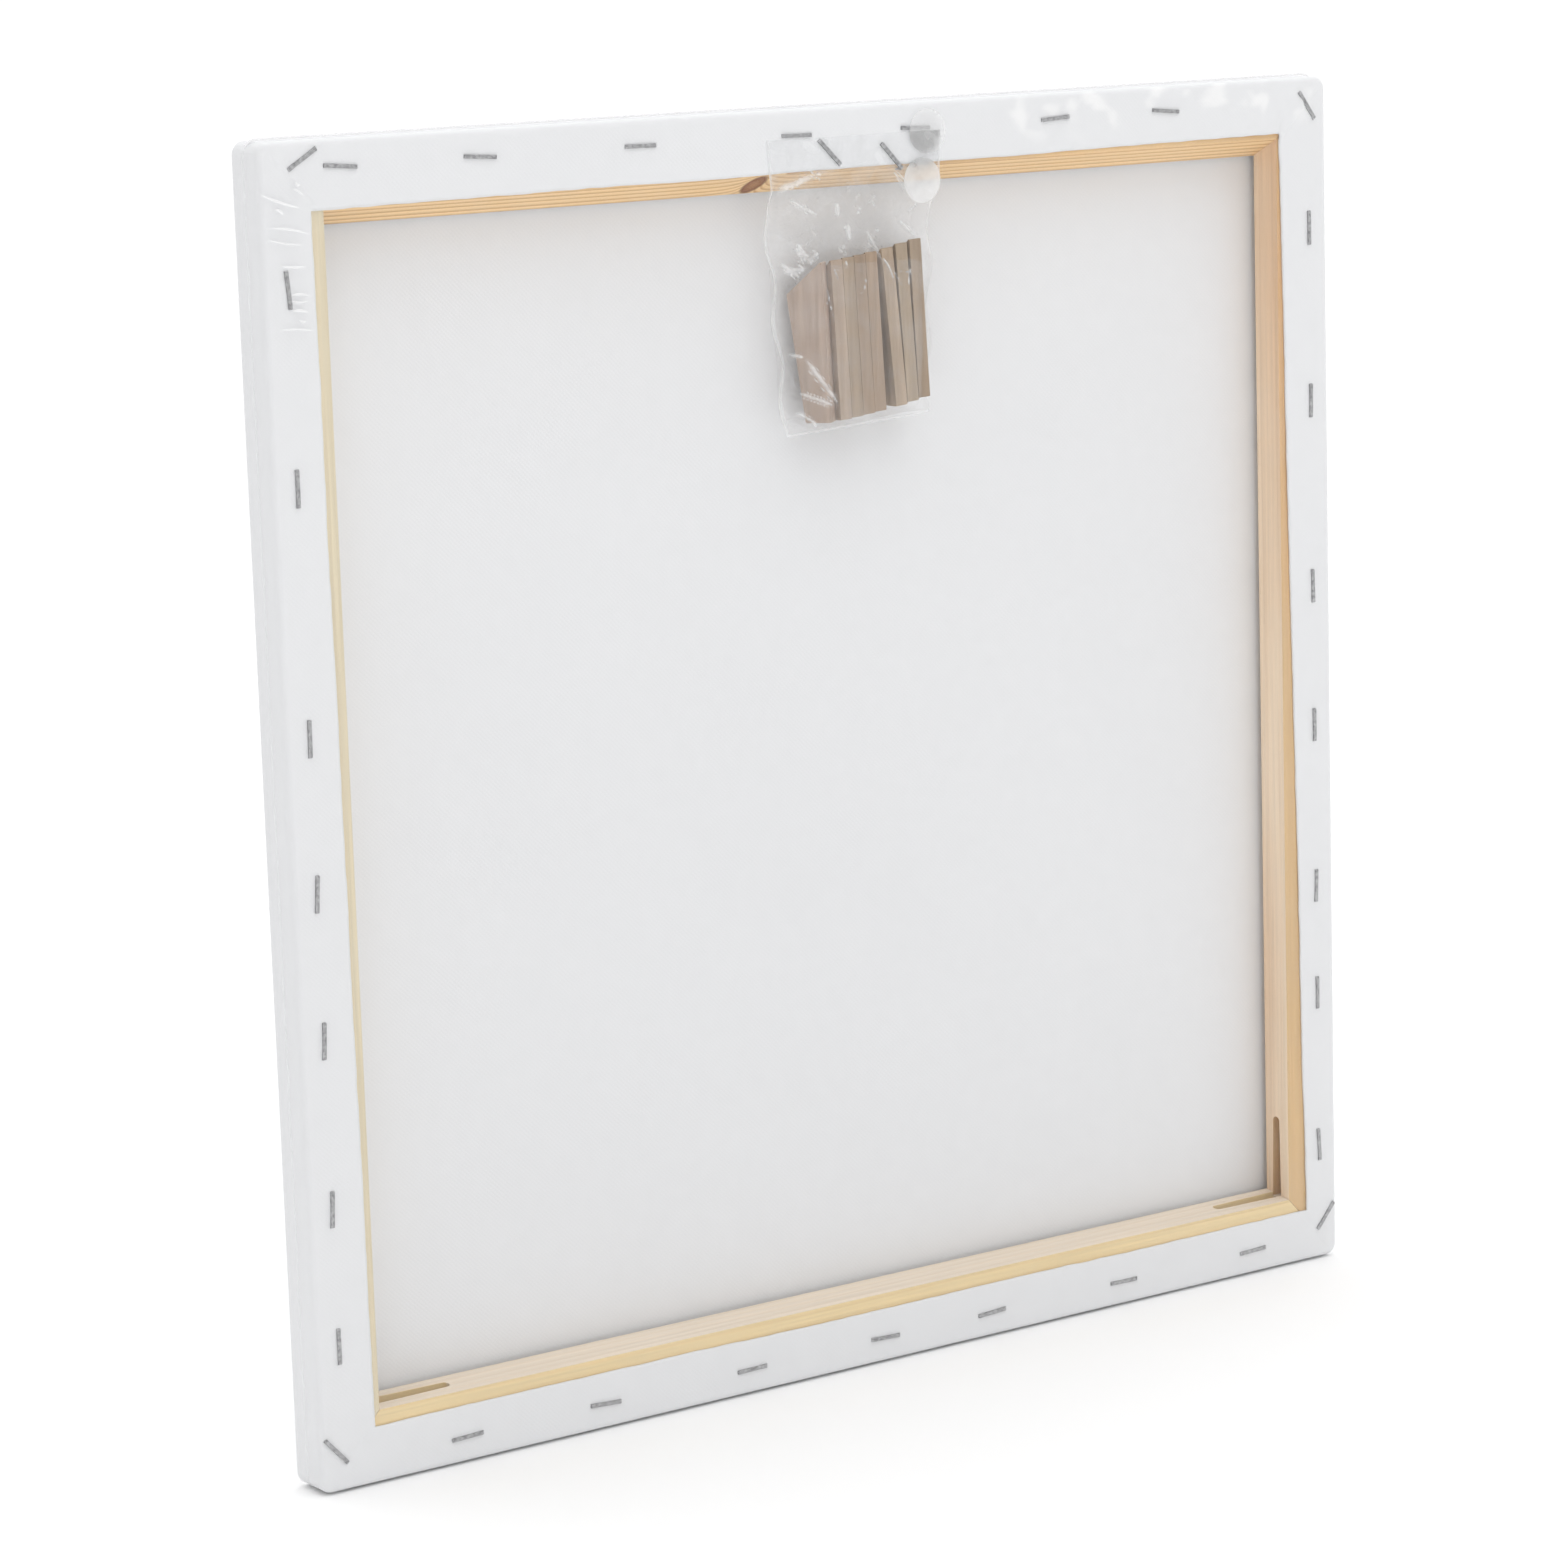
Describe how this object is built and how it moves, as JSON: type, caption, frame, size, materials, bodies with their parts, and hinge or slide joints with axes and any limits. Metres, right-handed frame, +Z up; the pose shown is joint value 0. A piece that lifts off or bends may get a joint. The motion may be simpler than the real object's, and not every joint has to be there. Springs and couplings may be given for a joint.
{
  "type": "stretched canvas",
  "caption": "Square stretched canvas on mitred pine bars that key apart, stapled at the back, with a bag of spare wooden keys, in clear shrink film.",
  "frame": {"origin": "middle of the bottom edge: the centre of the bounding box across and in depth, on the surface it stands on", "axes": "+Z up the canvas; -Y out of the painting face, +Y out of the back; +X is on the left when looking at the back"},
  "size_m": [0.4014, 0.0166, 0.4009],
  "materials": {
    "pine": "planed, unvarnished, satin",
    "key_wood": "rough sawn, matte",
    "primed_canvas": "plain weave, white primer on the face, matte",
    "staple_steel": "galvanised wire",
    "polythene": "clear, creased, glossy",
    "shrink_film": "clear, tight, glossy, creased at the corners",
    "clear_disc": "clear, hazy, semi-gloss"
  },
  "bodies": {
    "lower_left_frame": {"bar_bottom": "pine", "bar_left": "pine", "canvas": "primed_canvas", "shrink_film": "shrink_film", "staples_bottom": "staple_steel", "staples_left": "staple_steel", "corner_staple_bottom_left": "staple_steel"},
    "upper_right_frame": {"bar_top": "pine", "bar_right": "pine", "staples_top": "staple_steel", "staples_right": "staple_steel", "corner_staple_top_left": "staple_steel", "corner_staple_top_right": "staple_steel", "corner_staple_bottom_right": "staple_steel", "bag_staples": "staple_steel", "key_bag": "polythene", "clear_discs": "clear_disc", "key_1": "key_wood", "key_2": "key_wood", "key_3": "key_wood", "key_4": "key_wood", "key_5": "key_wood", "key_6": "key_wood", "key_7": "key_wood", "key_8": "key_wood"}
  },
  "joints": [
    {"name": "corner_keying", "type": "slide", "parent": "lower_left_frame", "child": "upper_right_frame", "axis": [-0.7071, 0, 0.7071], "range_m": [0, 0.0028], "deforming": ["canvas", "shrink_film"]}
  ]
}
